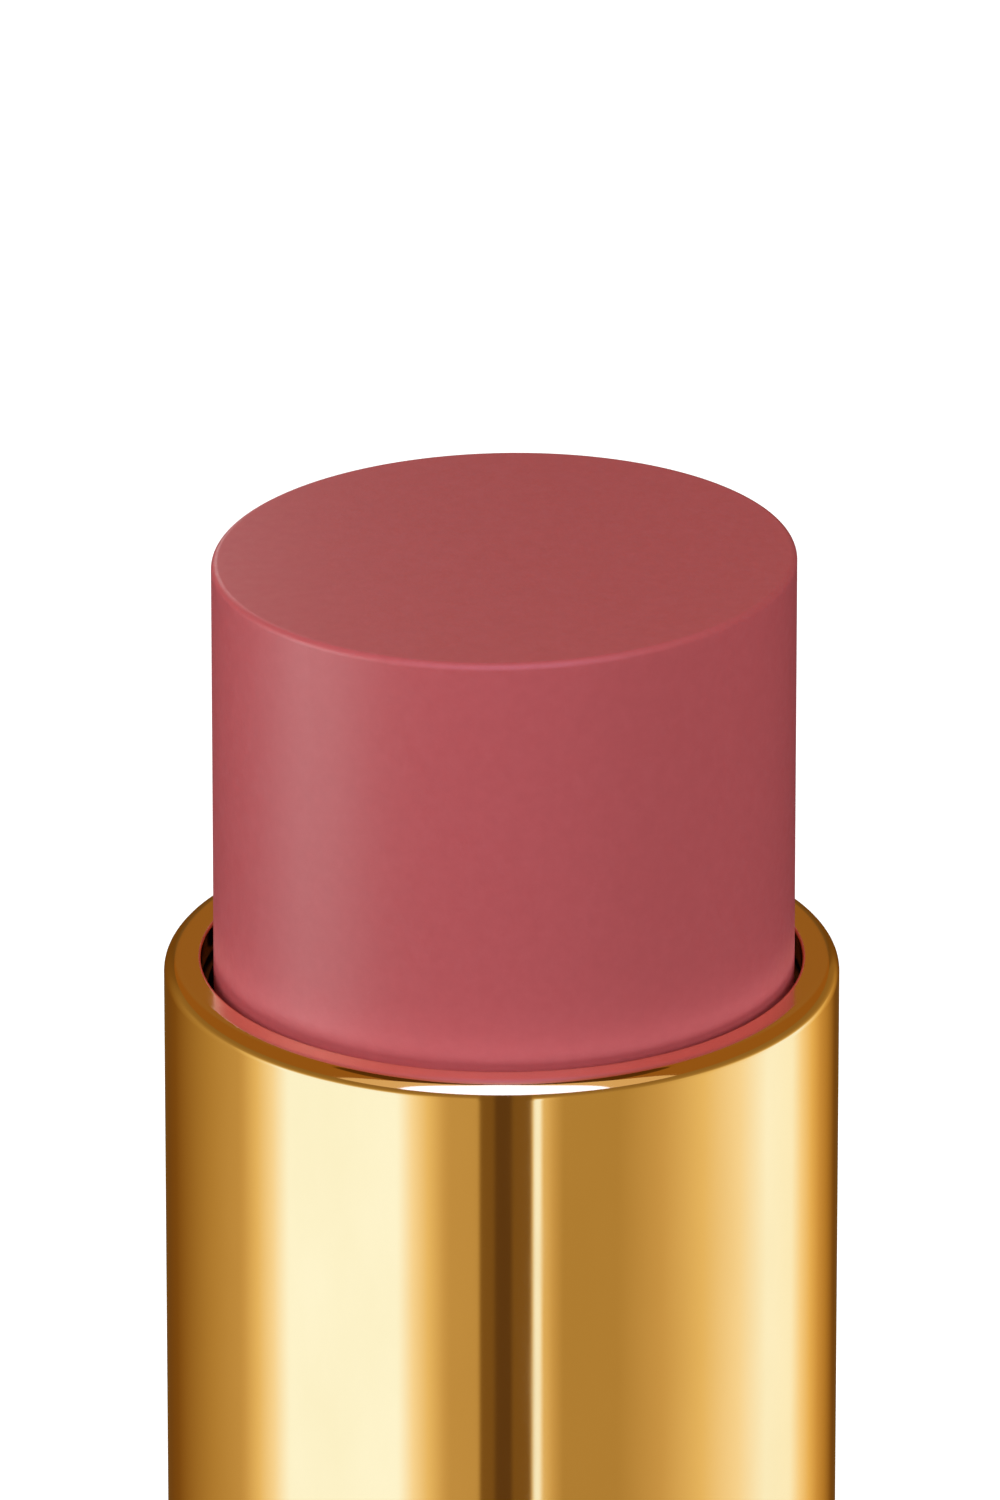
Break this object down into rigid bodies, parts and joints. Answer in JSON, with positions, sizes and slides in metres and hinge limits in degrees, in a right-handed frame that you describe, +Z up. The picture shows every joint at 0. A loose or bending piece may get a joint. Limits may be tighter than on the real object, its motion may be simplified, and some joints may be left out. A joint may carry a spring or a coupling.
{
  "type": "lipstick case",
  "caption": "Swivel lipstick case, open: round gold tube on a weighted base, wide flat-topped cream stick wound up, lift-off cap standing beside it.",
  "frame": {"origin": "centre of the base's foot, on the surface that the case stands on", "axes": "+Z up along the case's axis, the way the stick rises; +X to the right and -Y towards the viewer of the stored view; the cap stands at -X, +Y"},
  "size_m": [0.0545, 0.0424, 0.0607],
  "materials": {
    "polished_gold": "polished gold-coloured plating on drawn aluminium",
    "cream_stick": null,
    "mechanism_metal": "drawn aluminium, anodised dark bronze",
    "spring_steel": "bright spring steel",
    "weight_steel": "turned steel",
    "socket_plastic": "moulded black plastic",
    "liner_plastic": "moulded white plastic",
    "slippery_plastic": "white low-friction plastic",
    "soft_ring": "silicone rubber",
    "label_paper": "blank coated label"
  },
  "bodies": {
    "base": {"base_outer_shell": "polished_gold", "base_trim_ring": "polished_gold", "base_socket": "socket_plastic", "weight_holder": "socket_plastic", "base_weight": "weight_steel", "base_bottom_plate": "socket_plastic", "shade_label": "label_paper", "guide_tube": "mechanism_metal", "guide_retaining_ring": "spring_steel", "friction_washer": "soft_ring", "thrust_washer": "slippery_plastic"},
    "collar": {"collar_shell": "polished_gold", "cam_sleeve": "mechanism_metal"},
    "carrier": {"carrier_cup": "mechanism_metal", "carrier_lug_pins": "mechanism_metal", "lipstick_bullet": "cream_stick"},
    "cap": {"cap_outer_shell": "polished_gold", "cap_inner_liner": "liner_plastic", "cap_click_ring": "spring_steel", "cap_weight_disc": "weight_steel"}
  },
  "joints": [
    {"name": "collar_twist", "type": "hinge", "parent": "base", "child": "collar", "pos_m": [0, 0, 0.04], "axis": [0, 0, 1], "range_deg": [-463.3, 76.6]},
    {"name": "stick_rise", "type": "slide", "parent": "base", "child": "carrier", "axis": [0, 0, 1], "range_m": [-0.0139, 0.0023]},
    {"name": "cap_lift", "type": "slide", "parent": "base", "child": "cap", "axis": [0, 0, 1], "range_m": [0, 0.06]}
  ],
  "couplings": [
    {"joint": "stick_rise", "follows": "collar_twist", "m_per_rad": 0.0017189}
  ]
}
